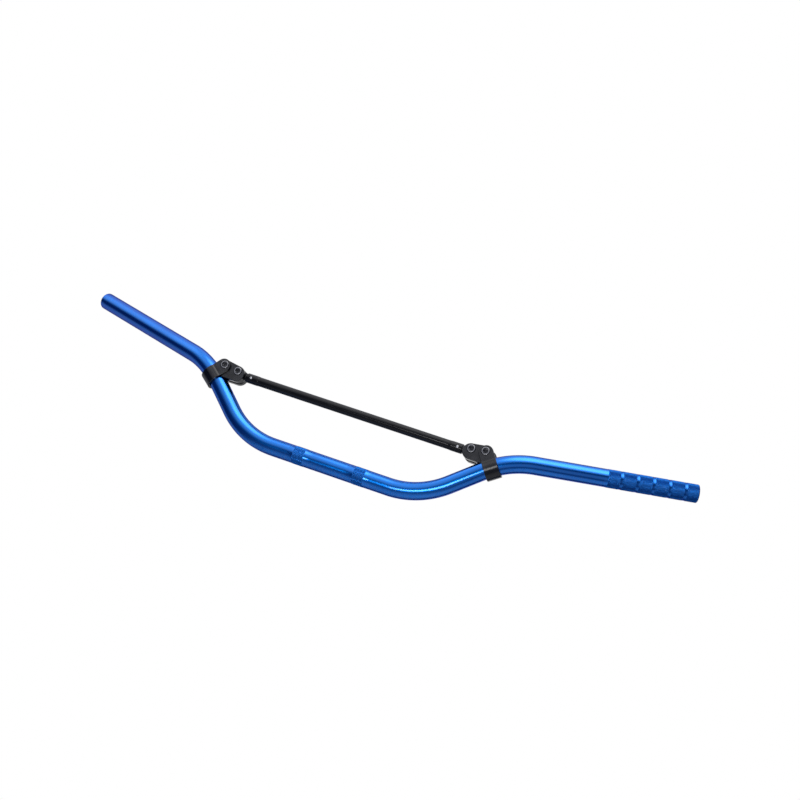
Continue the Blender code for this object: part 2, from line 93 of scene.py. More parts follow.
def bent_stretch(start, heading, inward, radius):
    """The same along a bend, which turns from its first heading towards inward."""

    def at(distance):
        turn = distance / radius
        point = start + (heading * math.sin(turn) + inward * (1 - math.cos(turn))) * radius
        return point, heading * math.cos(turn) + inward * math.sin(turn)

    return at


def right_half_stretches():
    """Straight and bent stretches from the middle outwards, as (length, function of distance)."""
    level = math.cos(UP_SWEEP)
    grip = Vector((level * math.cos(BACK_SWEEP), level * math.sin(BACK_SWEEP), math.sin(UP_SWEEP)))
    bends = [Vector((MIDDLE_TO_CENTRE_BEND, 0, 0)), Vector((MIDDLE_TO_GRIP_BEND, 0, BAR_RISE))]
    corners = [Vector((0, 0, 0)), *bends, bends[1] + grip * GRIP_TO_BEND]
    stretches = []
    start = corners[0]
    for i, radius in enumerate(BEND_RADII, 1):
        arriving = (corners[i] - corners[i - 1]).normalized()
        leaving = (corners[i + 1] - corners[i]).normalized()
        turn = arriving.angle(leaving)
        tangent = radius * math.tan(turn / 2)
        bend_start = corners[i] - arriving * tangent
        inward = (leaving - arriving * arriving.dot(leaving)).normalized()
        stretches.append(((bend_start - start).length, straight_stretch(start, arriving)))
        stretches.append((radius * turn, bent_stretch(bend_start, arriving, inward, radius)))
        start = corners[i] + leaving * tangent
    stretches.append(((corners[-1] - start).length, straight_stretch(start, grip)))
    return stretches


STRETCHES = right_half_stretches()
HALF_BAR = sum(length for length, _ in STRETCHES)


def on_bar(distance):
    """Point and heading on the bar's centre line, at a distance from its middle."""
    left = min(abs(distance), HALF_BAR)
    for length, at in STRETCHES:
        if left <= length:
            break
        left -= length
    point, heading = at(left)
    if distance < 0:
        point = Vector((-point.x, point.y, point.z))
        heading = Vector((heading.x, -heading.y, -heading.z))
    return point, heading


def full_turn(steps):
    """Angles of evenly spaced points round a circle."""
    return [2 * math.pi * i / steps for i in range(steps)]


def quarter_turn(steps):
    """Angles from 0 to 90 degrees, with both ends."""
    return [math.pi / 2 * i / steps for i in range(steps + 1)]


def ring_on_bar(distance, radius_at, columns):
    """Points round the centre line, where radius_at gives the radius of each column."""
    point, heading = on_bar(distance)
    side = (BACKWARDS - heading * heading.y).normalized()
    up = heading.cross(side)
    return [
        point + (side * math.cos(turn) + up * math.sin(turn)) * radius_at(c)
        for c, turn in enumerate(full_turn(columns))
    ]


def knurled_bands():
    """Start and end of each knurled band, as distances from the middle of the bar."""
    half = CLAMP_BAND_WIDTH / 2
    found = [(x - half, x + half) for x in (-CLAMP_BAND_MIDDLE, CLAMP_BAND_MIDDLE)]
    inner_limit = HALF_BAR - GRIP_KNURL_LENGTH
    outer = HALF_BAR - MOUTH_ROUNDING
    gap = HALF_BAR - FIRST_GAP_FROM_END
    while outer - inner_limit > GRIP_BAND_GAP:
        inner = max(gap + GRIP_BAND_GAP / 2, inner_limit)
        found.append((inner, outer))
        outer = gap - GRIP_BAND_GAP / 2
        gap -= GRIP_BAND_PITCH
    return sorted(found)


def plain_rows(start, end):
    """Distances for plain tube between two places, closer together in the bends."""
    rows = set()
    passed = 0.0
    for i, (length, _) in enumerate(STRETCHES):
        count = math.ceil(length / (BEND_STEP if i % 2 else STRAIGHT_STEP))
        for j in range(count + 1):
            distance = round(passed + length * j / count, 6)
            rows |= {distance, -distance}
        passed += length
    inside = [row for row in rows if start + BEND_STEP / 4 < row < end - BEND_STEP / 4]
    return [start, *sorted(inside), end]


def skin_rows():
    """Rows of the outer skin, from mouth to mouth: distance, radius, and a knurl's row number."""
    rounding = [
        (MOUTH_ROUNDING * (1 - math.cos(turn)), MOUTH_ROUNDING * (1 - math.sin(turn)))
        for turn in quarter_turn(MOUTH_STEPS)
    ]
    rows = [(back - HALF_BAR, BAR_RADIUS - down, None) for back, down in rounding[:-1]]
    start = MOUTH_ROUNDING - HALF_BAR
    for inner, outer in knurled_bands():
        rows += [(d, BAR_RADIUS, None) for d in plain_rows(start, inner - KNURL_RUN_IN)]
        count = round((outer - inner) / KNURL_ROW)
        rows += [(inner + (outer - inner) * i / count, KNURL_TOP, i) for i in range(count + 1)]
        start = outer + KNURL_RUN_IN
    rows += [(HALF_BAR - back, BAR_RADIUS - down, None) for back, down in rounding[-2::-1]]
    return rows


def knurl_height(row, column):
    """1 on a diamond's flat top, and 0 in the grooves round it."""
    return min(1, (row + column) % DIAMOND_STEPS, (row - column) % DIAMOND_STEPS)


def bar_mesh():
    """The whole bar: skin with its knurl, mouths and bore. Each point keeps its unbent place."""
    points, unbent, faces, knurled = [], [], [], []

    def add_ring(distance, radius, columns, row=None):
        def radius_at(column):
            if row is None:
                return radius
            return KNURL_FLOOR + (radius - KNURL_FLOOR) * knurl_height(row, column)

        first = len(points)
        points.extend(ring_on_bar(distance, radius_at, columns))
        for turn in full_turn(columns):
            unbent.append((radius * math.cos(turn), radius * math.sin(turn), distance))
        return list(range(first, first + columns))

    def join(ring, following, row=None, worked=0.0):
        for c in range(len(ring)):
            n = (c + 1) % len(ring)
            near, near_next, far, far_next = ring[c], ring[n], following[c], following[n]
            if row is None:
                new = [(near, near_next, far_next, far)]
            elif (row + c) % 2:
                new = [(near, far_next, far), (near, near_next, far_next)]
            else:
                new = [(near, near_next, far), (near_next, far_next, far)]
            faces.extend(new)
            knurled.extend([worked if row is None else 1.0] * len(new))

    rows = skin_rows()
    skin = [add_ring(d, radius, OUTER_COLUMNS, row) for d, radius, row in rows]
    for i in range(1, len(rows)):
        both_knurled = rows[i][2] is not None and rows[i - 1][2] is not None
        row = rows[i][2] if both_knurled else None
        in_grip = rows[i - 1][0] > HALF_BAR - GRIP_KNURL_LENGTH
        join(skin[i - 1], skin[i], row, GRIP_GAP_DULLNESS * in_grip)

    inside = plain_rows(BORE_CHAMFER - HALF_BAR, HALF_BAR - BORE_CHAMFER)
    mouth_radius = BORE_RADIUS + BORE_CHAMFER
    bore_rows = [(-HALF_BAR, mouth_radius), *((d, BORE_RADIUS) for d in inside)]
    bore_rows.append((HALF_BAR, mouth_radius))
    bore = [add_ring(d, radius, BORE_COLUMNS) for d, radius in bore_rows]
    for ring, following in zip(bore, bore[1:]):
        join(ring, following)
    share = OUTER_COLUMNS // BORE_COLUMNS
    for rim, hole in ((skin[0], bore[0]), (skin[-1], bore[-1])):
        for c in range(BORE_COLUMNS):
            along_rim = [rim[(c * share + i) % OUTER_COLUMNS] for i in range(share + 1)]
            faces.append((*along_rim, hole[(c + 1) % BORE_COLUMNS], hole[c]))
            knurled.append(0.0)
    return points, unbent, faces, knurled


def mesh_piece(name, points, faces, place=Matrix()):
    """A new closed mesh object in the scene, with its faces pointing outwards."""
    mesh = bpy.data.meshes.new(name)
    mesh.from_pydata([tuple(point) for point in points], [], faces)
    work = bmesh.new()
    work.from_mesh(mesh)
    bmesh.ops.recalc_face_normals(work, faces=work.faces)
    work.to_mesh(mesh)
    work.free()
    piece = bpy.data.objects.new(name, mesh)
    piece.matrix_world = place
    bpy.context.scene.collection.objects.link(piece)
    return piece


def fit(piece, node, material):
    """Fits a finished piece on the bar, in place of the plain solid."""
    piece.data.materials.clear()
    piece.data.materials.append(material)
    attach(piece, "root")
    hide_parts(node)


def add(tree, kind, feeds=None, **settings):
    """A new shader node. Feeds gives its inputs, each a number, a colour or another's output."""
    made = tree.nodes.new(f"ShaderNode{kind}")
    for key, value in settings.items():
        setattr(made, key, value)
    for key, source in (feeds or {}).items():
        if isinstance(source, bpy.types.NodeSocket):
            tree.links.new(source, made.inputs[key])
        else:
            made.inputs[key].default_value = source
    return made


def new_finish(name):
    """A new material with its node tree and its Principled shader."""
    material = bpy.data.materials.new(name)
    material.use_nodes = True
    return material, material.node_tree, material.node_tree.nodes["Principled BSDF"]


def colour_mix(tree, factor, first, second):
    """Output of a node that goes from the first colour to the second."""
    feeds = {0: factor, 6: first, 7: second}
    return add(tree, "Mix", feeds, data_type="RGBA").outputs[2]


def ranged(tree, value, low, high, to_low=0.0, to_high=1.0):
    """Output of a node that maps one range of values to another."""
    feeds = {"Value": value, 1: low, 2: high, 3: to_low, 4: to_high}
    return add(tree, "MapRange", feeds).outputs[0]


def noise(tree, place, scale, detail):
    """Output of a noise over the given places, finer as its scale grows."""
    return add(tree, "TexNoise", {"Vector": place, "Scale": scale, "Detail": detail}).outputs[0]


def fine_bump(tree, shader, height, strength):
    """Gives a shader a bump of 0.1 mm at most."""
    feeds = {"Strength": strength, "Distance": 0.0001, "Height": height}
    tree.links.new(add(tree, "Bump", feeds).outputs[0], shader.inputs["Normal"])


BLUE = (0.0010, 0.160, 0.605, 1)
BLUE_DEEPER = (0.0010, 0.141, 0.550, 1)
# The knurl's colour is a darker blue with a little red added, a painted whitish sheen.
BLUE_AND_SHEEN_IN_KNURL = (0.0120, 0.113, 0.415, 1)
EDGE_TINT = (0.02, 0.25, 0.55, 1)  # of light that grazes the metal
STREAK_STRETCH = 0.03  # scale of the drawn streaks along the bar, where it is 1 across
STREAK_RANGE = (0.3, 0.7)
CLOUD_RANGE = (0.35, 0.65)
BLUE_ROUGHNESS = (0.205, 0.275)  # across the drawn streaks
KNURL_ROUGHNESS = 0.32
COAT_FADE = (0.3, 0.95)  # where the clear layer thins out, from facing (0) to edge-on (1)
COAT_WEIGHT = (0.68, 0.2)
KNURL_COAT_WEIGHT = 0.08
COAT_ROUGHNESS = 0.07

blue_anodised, tree, shader = new_finish("blue_anodised")
unbent_place = add(tree, "Attribute", attribute_name="unbent").outputs["Vector"]
is_knurl = add(tree, "Attribute", attribute_name="knurled").outputs["Fac"]
feeds = {"Vector": unbent_place, "Scale": (1, 1, STREAK_STRETCH)}
streaks = noise(tree, add(tree, "Mapping", feeds).outputs[0], scale=900, detail=3)
clouds = noise(tree, unbent_place, scale=26, detail=2)
dye = colour_mix(tree, ranged(tree, clouds, *CLOUD_RANGE), BLUE, BLUE_DEEPER)
# The knurl, and in part the grip's plain gaps, take the darker blue with its painted sheen.
tree.links.new(colour_mix(tree, is_knurl, dye, BLUE_AND_SHEEN_IN_KNURL), shader.inputs["Base Color"])
drawn = ranged(tree, streaks, *STREAK_RANGE, *BLUE_ROUGHNESS)
polish = add(tree, "Mix", {0: is_knurl, 2: drawn, 3: KNURL_ROUGHNESS}).outputs[0]
tree.links.new(polish, shader.inputs["Roughness"])
fine_bump(tree, shader, noise(tree, unbent_place, scale=2600, detail=2), strength=0.05)
shader.inputs["Metallic"].default_value = 1.0
shader.inputs["Specular Tint"].default_value = EDGE_TINT
turned_away = add(tree, "LayerWeight", {"Blend": 0.5}).outputs["Facing"]
plain_coat = ranged(tree, turned_away, *COAT_FADE, *COAT_WEIGHT)
coat = add(tree, "Mix", {0: is_knurl, 2: plain_coat, 3: KNURL_COAT_WEIGHT}).outputs[0]
tree.links.new(coat, shader.inputs["Coat Weight"])
shader.inputs["Coat Roughness"].default_value = COAT_ROUGHNESS

points, unbent, faces, knurled = bar_mesh()
bent_bar = mesh_piece("bent_bar", points, faces)
bent_bar.data.shade_smooth()
bent_bar.data.set_sharp_from_angle(angle=BAR_SHARP_ABOVE)
place_kept = bent_bar.data.attributes.new("unbent", "FLOAT_VECTOR", "POINT")
place_kept.data.foreach_set("vector", [value for point in unbent for value in point])
marks = bent_bar.data.attributes.new("knurled", "FLOAT", "FACE")
marks.data.foreach_set("value", knurled)
fit(bent_bar, "handlebar_tube", blue_anodised)


# The two clamp straps: flat aluminium bar, 3 mm thick, bent to a hairpin round the riser and
# pinched in where its arms leave the tube, and anodised black, with a painted sheen, a greyer
# black, on its flat sides. A screw through both round-ended arms draws each strap tight.
BRACKET_STATION = 0.2088  # along the bar's centre line, from its middle
GAP = 0.0003  # left between pieces that seat on each other
BLOCK_HALF = 0.0095
STRAP_HALF_WIDTH = 0.0090
STRAP_THICKNESS = 0.0030
STRAP_INNER = BLOCK_HALF + GAP
STRAP_OUTER = STRAP_INNER + STRAP_THICKNESS
STRAP_END_SETBACK = 0.0019
STRAP_SHOULDER = 0.0025
STRAP_OUTER_EDGE = 0.0006
STRAP_INNER_EDGE = 0.0003
STRAP_HOLE_EDGE = 0.0003
SCREW_HOLE = 0.0033
COUNTERBORE = 0.0054
STRAP_SINK = 0.0024
BAR_TOOL_REACH = 0.038  # along the bar, each way from a bracket
TOOL_MARGIN = 0.003
WELD_DISTANCE = 0.000001
EDGE_STEPS = 4
TURNED_COLUMNS = 96
SMOOTH_BELOW = math.radians(30)

LEFT_TO_RIGHT = (("left", -1), ("right", 1))


def middle_of(node):
    """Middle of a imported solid's box."""
    low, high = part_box(node)
    return (Vector(low) + Vector(high)) / 2


def bolt_place(side_name, bolt):
    """Where a bolt's axis crosses the middle plane of its bracket."""
    seat_y = on_bar(BRACKET_STATION)[0].y
    middle = middle_of(f"{side_name}_{bolt}_bolt")
    return Vector((middle.x, seat_y, middle.z))


def facing_front(spot):
    """A place with its local Z turned to the bar's front."""
    return Matrix.Translation(spot) @ Matrix.Rotation(math.pi / 2, 4, "X")


def strap_directions(side):
    """Seat on the centre line, the way down the riser, and the way out to the clamp bolt."""
    seat, heading = on_bar(side * BRACKET_STATION)
    outwards = Vector((heading.x, 0, heading.z)).normalized() * side
    return seat, -outwards, Vector((-side * abs(outwards.z), 0, abs(outwards.x)))


def hairpin_path(reach):
    """Matching points of the strap's outer and inner face in its bent section, arm to arm."""
    outer_turn = BAR_RADIUS + GAP + STRAP_THICKNESS
    inner_turn = BAR_RADIUS + GAP
    hollow_y = STRAP_OUTER + STRAP_SHOULDER
    hollow_x = math.sqrt((outer_turn + STRAP_SHOULDER) ** 2 - hollow_y**2)
    outer_start = math.atan2(hollow_y, hollow_x)
    inner_start = math.asin(STRAP_INNER / inner_turn)
    inner_corner = inner_turn * math.cos(inner_start)
    arm_steps, hollow_steps, turn_steps = 4, 8, 80
    half = []
    for i in range(arm_steps + 1):
        x = -STRAP_END_SETBACK + (hollow_x - reach + STRAP_END_SETBACK) * i / arm_steps
        half.append(((x, STRAP_OUTER), (x, STRAP_INNER)))
    for i in range(1, hollow_steps):
        share = i / hollow_steps
        lean = math.pi / 2 + (outer_start - math.pi / 2) * share
        x = hollow_x - STRAP_SHOULDER * math.cos(lean) - reach
        y = hollow_y - STRAP_SHOULDER * math.sin(lean)
        inner_x = hollow_x + (inner_corner - hollow_x) * share - reach
        half.append(((x, y), (inner_x, STRAP_INNER)))
    for i in range(turn_steps // 2 + 1):
        outer_a = outer_start + (math.pi - outer_start) * 2 * i / turn_steps
        inner_a = inner_start + (math.pi - inner_start) * 2 * i / turn_steps
        outer = (outer_turn * math.cos(outer_a) - reach, outer_turn * math.sin(outer_a))
        inner = (inner_turn * math.cos(inner_a) - reach, inner_turn * math.sin(inner_a))
        half.append((outer, inner))
    mirrored = [((ox, -oy), (ix, -iy)) for (ox, oy), (ix, iy) in reversed(half[:-1])]
    return half + mirrored


def edge_profile():
    """Half of the strap's section: (inset from its width, share of its thickness) points."""
    outer = [
        (STRAP_OUTER_EDGE * (1 - math.sin(t)), STRAP_OUTER_EDGE * (1 - math.cos(t)))
        for t in quarter_turn(EDGE_STEPS)
    ]
    inner = [
        (STRAP_INNER_EDGE * (1 - math.cos(t)), STRAP_INNER_EDGE * (1 - math.sin(t)))
        for t in quarter_turn(EDGE_STEPS)
    ]
    profile = [(inset, depth / STRAP_THICKNESS) for inset, depth in outer]
    return profile + [(inset, 1 - depth / STRAP_THICKNESS) for inset, depth in inner]


def faces_between(rings):
    """Faces that join each ring of points to the next. A ring may be one point, repeated."""
    faces = []
    for ring, following in zip(rings, rings[1:]):
        for c in range(len(ring)):
            n = (c + 1) % len(ring)
            corners = dict.fromkeys((ring[c], ring[n], following[n], following[c]))
            faces.append(tuple(corners))
    return faces


def strap_mesh(reach):
    """Bent flat bar with round-ended arms. X runs out to the screw, Y front to back, Z across."""
    path = hairpin_path(reach)
    tip_steps = 16
    tip_turns = quarter_turn(tip_steps)[:-1]
    stations = [("front tip", turn) for turn in tip_turns]
    stations += [("bend", i) for i in range(len(path))]
    stations += [("back tip", turn) for turn in reversed(tip_turns)]
    profile = edge_profile()
    points, rings = [], []
    for kind, value in stations:
        ring = []
        for width_sign, section in ((1, profile), (-1, profile[::-1])):
            for inset, share in section:
                width = STRAP_HALF_WIDTH - inset
                if kind == "bend":
                    (ox, oy), (ix, iy) = path[value]
                    x, y = ox + (ix - ox) * share, oy + (iy - oy) * share
                else:
                    x = width * math.cos(value) - STRAP_END_SETBACK
                    y = STRAP_OUTER - STRAP_THICKNESS * share
                    y = y if kind == "front tip" else -y
                    width *= math.sin(value)
                ring.append(len(points))
                points.append((x, y, width_sign * width))
        rings.append(ring)
    return points, faces_between(rings)


def weld(piece):
    """Makes points that meet one, and drops the faces that this closes up."""
    work = bmesh.new()
    work.from_mesh(piece.data)
    bmesh.ops.remove_doubles(work, verts=work.verts, dist=WELD_DISTANCE)
    bmesh.ops.dissolve_degenerate(work, edges=work.edges, dist=WELD_DISTANCE)
    bmesh.ops.recalc_face_normals(work, faces=work.faces)
    work.to_mesh(piece.data)
    work.free()


def ringed(rows, bored=False):
    """Points and faces about local Z, from rows of a height and its points' radii."""
    points, rings = [], []
    for height, radii in rows:
        columns = len(radii)
        count = columns if radii[0] else 1
        rings.append([len(points) + c % count for c in range(columns)])
        for radius, turn in zip(radii[:count], full_turn(columns)):
            points.append((radius * math.cos(turn), radius * math.sin(turn), height))
    if bored:
        rings.append(rings[0])
    return points, faces_between(rings)


def turned(name, profile, place, bored=False, columns=TURNED_COLUMNS):
    """A lathe-turned piece about local Z, from (radius, height) points."""
    rows = [(height, [radius] * columns) for radius, height in profile]
    return mesh_piece(name, *ringed(rows, bored), place)


def screw_hole(name, face, sink, place):
    """Tool for a screw's hole: bore, counterbore, and the broken edge at the face."""
    above = face + TOOL_MARGIN
    profile = [(0, above), (COUNTERBORE + STRAP_HOLE_EDGE + TOOL_MARGIN, above)]
    profile += [(COUNTERBORE, face - STRAP_HOLE_EDGE), (COUNTERBORE, face - sink)]
    profile += [(SCREW_HOLE, face - sink), (SCREW_HOLE, -above), (0, -above)]
    return turned(name, profile, place)


def bar_tool(side):
    """Tool the shape of the bar near a bracket, for seats that follow its bend."""
    steps = 24
    near = BRACKET_STATION - BAR_TOOL_REACH
    points, rings = [], []
    for i in range(steps + 1):
        distance = side * (near + 2 * BAR_TOOL_REACH * i / steps)
        rings.append(list(range(len(points), len(points) + TURNED_COLUMNS)))
        points += ring_on_bar(distance, lambda column: BAR_RADIUS + GAP, TURNED_COLUMNS)
    faces = faces_between(rings) + [tuple(rings[0]), tuple(rings[-1])]
    return mesh_piece("bar_tool", points, faces)


def combine(piece, tool, operation="DIFFERENCE"):
    """Cuts a piece with a tool, or joins or trims it."""
    modifier = piece.modifiers.new(tool.name, "BOOLEAN")
    modifier.operation = operation
    modifier.object = tool


def settle(piece):
    """Applies a piece's cuts, clears the tools away and shades its rounded edges smooth."""
    tools = [modifier.object for modifier in piece.modifiers if modifier.type == "BOOLEAN"]
    graph = bpy.context.evaluated_depsgraph_get()
    mesh = bpy.data.meshes.new_from_object(piece.evaluated_get(graph))
    mesh.transform(piece.matrix_world)
    piece.modifiers.clear()
    piece.matrix_world = Matrix()
    piece.data = mesh
    for tool in tools:
        bpy.data.objects.remove(tool)
    mesh.shade_smooth()
    mesh.set_sharp_from_angle(angle=SMOOTH_BELOW)
    normals = piece.modifiers.new("even_faces", "WEIGHTED_NORMAL")
    normals.keep_sharp = True
    return piece


def maths(tree, operation, *values):
    """Output of a node that works out one number from others."""
    return add(tree, "Math", dict(enumerate(values)), operation=operation).outputs[0]


def effect(name, inputs, outputs):
    """An empty node group, with named numbers as its inputs and outputs."""
    group = bpy.data.node_groups.new(name, "ShaderNodeTree")
    for in_out, labels in (("INPUT", inputs), ("OUTPUT", outputs)):
        for label in labels:
            group.interface.new_socket(name=label, in_out=in_out, socket_type="NodeSocketFloat")
    return group, group.nodes.new("NodeGroupInput"), group.nodes.new("NodeGroupOutput")


# Blasted grain: the fine, even tooth that metal has when it is blasted before anodising.
TONE_RANGE = (0.7, 1.3)  # of the tooth's noise and the patches' noise added

blasted_grain, given, result = effect("blasted_grain", ["Fineness", "Depth"], ["Tone", "Height"])
on_piece = add(blasted_grain, "TexCoord").outputs["Object"]
tooth = noise(blasted_grain, on_piece, given.outputs["Fineness"], detail=3)
patches = noise(blasted_grain, on_piece, scale=70, detail=2)
tone = ranged(blasted_grain, maths(blasted_grain, "ADD", tooth, patches), *TONE_RANGE)
deep = maths(blasted_grain, "MULTIPLY", tooth, given.outputs["Depth"])
blasted_grain.links.new(tone, result.inputs["Tone"])
blasted_grain.links.new(deep, result.inputs["Height"])

# Painted edge highlights: outer edges painted lighter, in blotches, standing in for the
# highlights that rounded edges catch.
EDGE_RANGE = (0.995, 0.90)  # agreement of the true and the rounded normal, from flat to edge
BLOTCH_RANGE = (0.38, 0.62)
LEAST_EDGE_HIGHLIGHT = 0.15

painted_edge_highlights, given, result = effect("painted_edge_highlights", ["Edge width", "Amount"], ["Mask"])
rounded = add(painted_edge_highlights, "Bevel", {"Radius": given.outputs["Edge width"]}, samples=4)
true_normal = add(painted_edge_highlights, "NewGeometry").outputs["Normal"]
feeds = {0: rounded.outputs[0], 1: true_normal}
agreement = add(painted_edge_highlights, "VectorMath", feeds, operation="DOT_PRODUCT").outputs["Value"]
at_edge = ranged(painted_edge_highlights, agreement, *EDGE_RANGE)
blotches = noise(
    painted_edge_highlights, add(painted_edge_highlights, "TexCoord").outputs["Object"], scale=260, detail=4
)
broken = ranged(painted_edge_highlights, blotches, *BLOTCH_RANGE, LEAST_EDGE_HIGHLIGHT, 1.0)
edge_highlight = maths(painted_edge_highlights, "MULTIPLY", at_edge, broken)
edge_highlight = maths(painted_edge_highlights, "MULTIPLY", edge_highlight, given.outputs["Amount"])
painted_edge_highlights.links.new(edge_highlight, result.inputs["Mask"])


def placed_effect(tree, group, **values):
    """A group placed in a material with the material's own values."""
    made = tree.nodes.new("ShaderNodeGroup")
    made.node_tree = group
    for label, value in values.items():
        made.inputs[label.replace("_", " ")].default_value = value
    return made


BLACK = (0.0015, 0.0015, 0.0018, 1)
BLACK_PATCHES = (0.0035, 0.0035, 0.0040, 1)
# The next colour is the lighter grey painted on outer edges as a highlight.
BLACK_EDGE_HIGHLIGHT = (0.1200, 0.1200, 0.1260, 1)
# Painted sheen: a greyer black, with its own patches, for faces turned to the front or back,
# standing in for the light these faces catch.
PAINTED_SHEEN_GREY = (0.0120, 0.0120, 0.0130, 1)
PAINTED_SHEEN_PATCHES = (0.0360, 0.0360, 0.0385, 1)
FLAT_SIDE_RANGE = (0.96, 0.99)  # how squarely a face looks to the front or back


def black_finish(name, roughness, refraction, flat_side_sheen):
    """Dyed black anodising, a little patchy, with painted highlights on its outer edges.

    The last argument sets the painted sheen, a greyer black, on the flat sides, front and back.
    """
    material, tree, shader = new_finish(name)
    tooth = placed_effect(tree, blasted_grain, Fineness=1500.0, Depth=1.0)
    edges = placed_effect(tree, painted_edge_highlights, Edge_width=0.0004, Amount=0.6)
    body_black = colour_mix(tree, tooth.outputs["Tone"], BLACK, BLACK_PATCHES)
    painted_sheen_black = colour_mix(tree, tooth.outputs["Tone"], PAINTED_SHEEN_GREY, PAINTED_SHEEN_PATCHES)
    outwards = add(tree, "SeparateXYZ", {"Vector": add(tree, "TexCoord").outputs["Normal"]})
    # Painted sheen: faces turned squarely to the front or back get the greyer black.
    front_or_back = maths(tree, "ABSOLUTE", outwards.outputs["Y"])
    painted_sheen_mask = ranged(tree, front_or_back, *FLAT_SIDE_RANGE, 0.0, flat_side_sheen)
    body_and_painted_sheen = colour_mix(tree, painted_sheen_mask, body_black, painted_sheen_black)
    # Painted highlights: the outer edges get a lighter grey.
    black_with_edge_highlights = colour_mix(tree, edges.outputs["Mask"], body_and_painted_sheen, BLACK_EDGE_HIGHLIGHT)
    tree.links.new(black_with_edge_highlights, shader.inputs["Base Color"])
    polish = ranged(tree, tooth.outputs["Tone"], 0.0, 1.0, *roughness)
    tree.links.new(polish, shader.inputs["Roughness"])
    fine_bump(tree, shader, tooth.outputs["Height"], strength=0.06)
    shader.inputs["Metallic"].default_value = 0.0
    shader.inputs["IOR"].default_value = refraction
    return material


black_anodised = black_finish("black_anodised", (0.17, 0.25), refraction=1.45, flat_side_sheen=1.0)

for side_name, side in LEFT_TO_RIGHT:
    seat, _, towards_bolt = strap_directions(side)
    clamp_bolt = bolt_place(side_name, "clamp")
    reach = (clamp_bolt - seat).dot(towards_bolt)
    across = towards_bolt.cross(BACKWARDS)
    turned_in = Matrix((towards_bolt, BACKWARDS, across)).transposed().to_4x4()
    strap_place = Matrix.Translation(clamp_bolt) @ turned_in
    strap = mesh_piece(f"{side_name}_hairpin_strap", *strap_mesh(reach), strap_place)
    weld(strap)
    combine(strap, bar_tool(side))
    combine(strap, screw_hole("hole_tool", STRAP_OUTER, STRAP_SINK, facing_front(clamp_bolt)))
    fit(settle(strap), f"{side_name}_clamp_strap", black_anodised)


# The two clamp blocks: forged aluminium, machined with a saddle that seats on the riser and a
# slot between two round ears, and anodised like the straps. Each sits between its strap's
# arms, held by the clamp screw, and the ears take the pivot screw and the crossbar's end.
BLOCK_NOSE = 0.0074
BLOCK_EDGE = 0.0008
SADDLE_DEPTH = 0.0036
SADDLE_FOOT = 0.0107
EAR_RADIUS = 0.0100
EAR_DROP = 0.0035
EAR_SINK = 0.0020
TONGUE_THICKNESS = 0.0060
TONGUE_INSET = 0.0008
TONGUE_ROOM = 0.0010
BLOCK_TOOL_HALF = 0.020
OUTLINE_STEPS = 96
SOFTEN_ABOVE = math.radians(50)

UPWARDS = Vector((0, 0, 1))


def circle(centre, radius):
    """Outline of a circle."""
    x, y = centre
    return [(x + radius * math.cos(t), y + radius * math.sin(t)) for t in full_turn(OUTLINE_STEPS)]


def hull(points):
    """Outline drawn tight round the given points, like a string."""
    return [points[i] for i in convex_hull_2d([Vector(point) for point in points])]


def plate(name, outline, half_thickness, place):
    """A flat piece: a closed outline in local X and Y, centred along local Z."""
    count = len(outline)
    points = [(x, y, z) for z in (-half_thickness, half_thickness) for x, y in outline]
    faces = [tuple(range(count)), tuple(range(count, 2 * count))]
    faces += [(i, (i + 1) % count, (i + 1) % count + count, i + count) for i in range(count)]
    return mesh_piece(name, points, faces, place)


def soften(piece, width, segments=EDGE_STEPS):
    """Rounds a plate's outer edges."""
    modifier = piece.modifiers.new("rounding", "BEVEL")
    modifier.width = width
    modifier.segments = segments
    modifier.limit_method = "ANGLE"
    modifier.angle_limit = SOFTEN_ABOVE


def plain_hole(name, half_length, place):
    """Tool for a screw's plain hole, which runs both ways from its place."""
    profile = [(0, half_length), (SCREW_HOLE, half_length)]
    profile += [(SCREW_HOLE, -half_length), (0, -half_length)]
    return turned(name, profile, place)


for side_name, side in LEFT_TO_RIGHT:
    seat, down_riser, towards_bolt = strap_directions(side)
    clamp_bolt = bolt_place(side_name, "clamp")
    pivot_bolt = bolt_place(side_name, "pivot")
    ear_centre = pivot_bolt - UPWARDS * EAR_DROP
    saddle = seat + towards_bolt * (BAR_RADIUS - SADDLE_DEPTH)
    corners = [saddle - down_riser * BLOCK_NOSE, saddle + down_riser * SADDLE_FOOT, ear_centre]
    *saddle_ends, ear = [(point.x - clamp_bolt.x, point.z - clamp_bolt.z) for point in corners]
    ear_x, ear_z = ear
    outline = hull(circle((0, 0), BLOCK_NOSE) + circle(ear, EAR_RADIUS) + saddle_ends)
    block_place = facing_front(clamp_bolt)
    block = plate(f"{side_name}_saddle_block", outline, BLOCK_HALF, block_place)
    soften(block, BLOCK_EDGE)
    combine(block, bar_tool(side))
    root_x = ear_x + side * (EAR_RADIUS - TONGUE_INSET + TONGUE_ROOM)
    open_x = ear_x - side * (EAR_RADIUS + TOOL_MARGIN)
    tall = EAR_RADIUS + EAR_DROP + TOOL_MARGIN
    slot = [(root_x, ear_z - tall), (open_x, ear_z - tall)]
    slot += [(open_x, ear_z + tall), (root_x, ear_z + tall)]
    combine(block, plate("slot_tool", slot, TONGUE_THICKNESS / 2 + GAP, block_place))
    combine(block, plain_hole("clamp_hole_tool", BLOCK_TOOL_HALF, block_place))
    pivot_place = facing_front(pivot_bolt)
    combine(block, screw_hole("pivot_hole_tool", BLOCK_HALF, EAR_SINK, pivot_place))
    fit(settle(block), f"{side_name}_clamp_block", black_anodised)


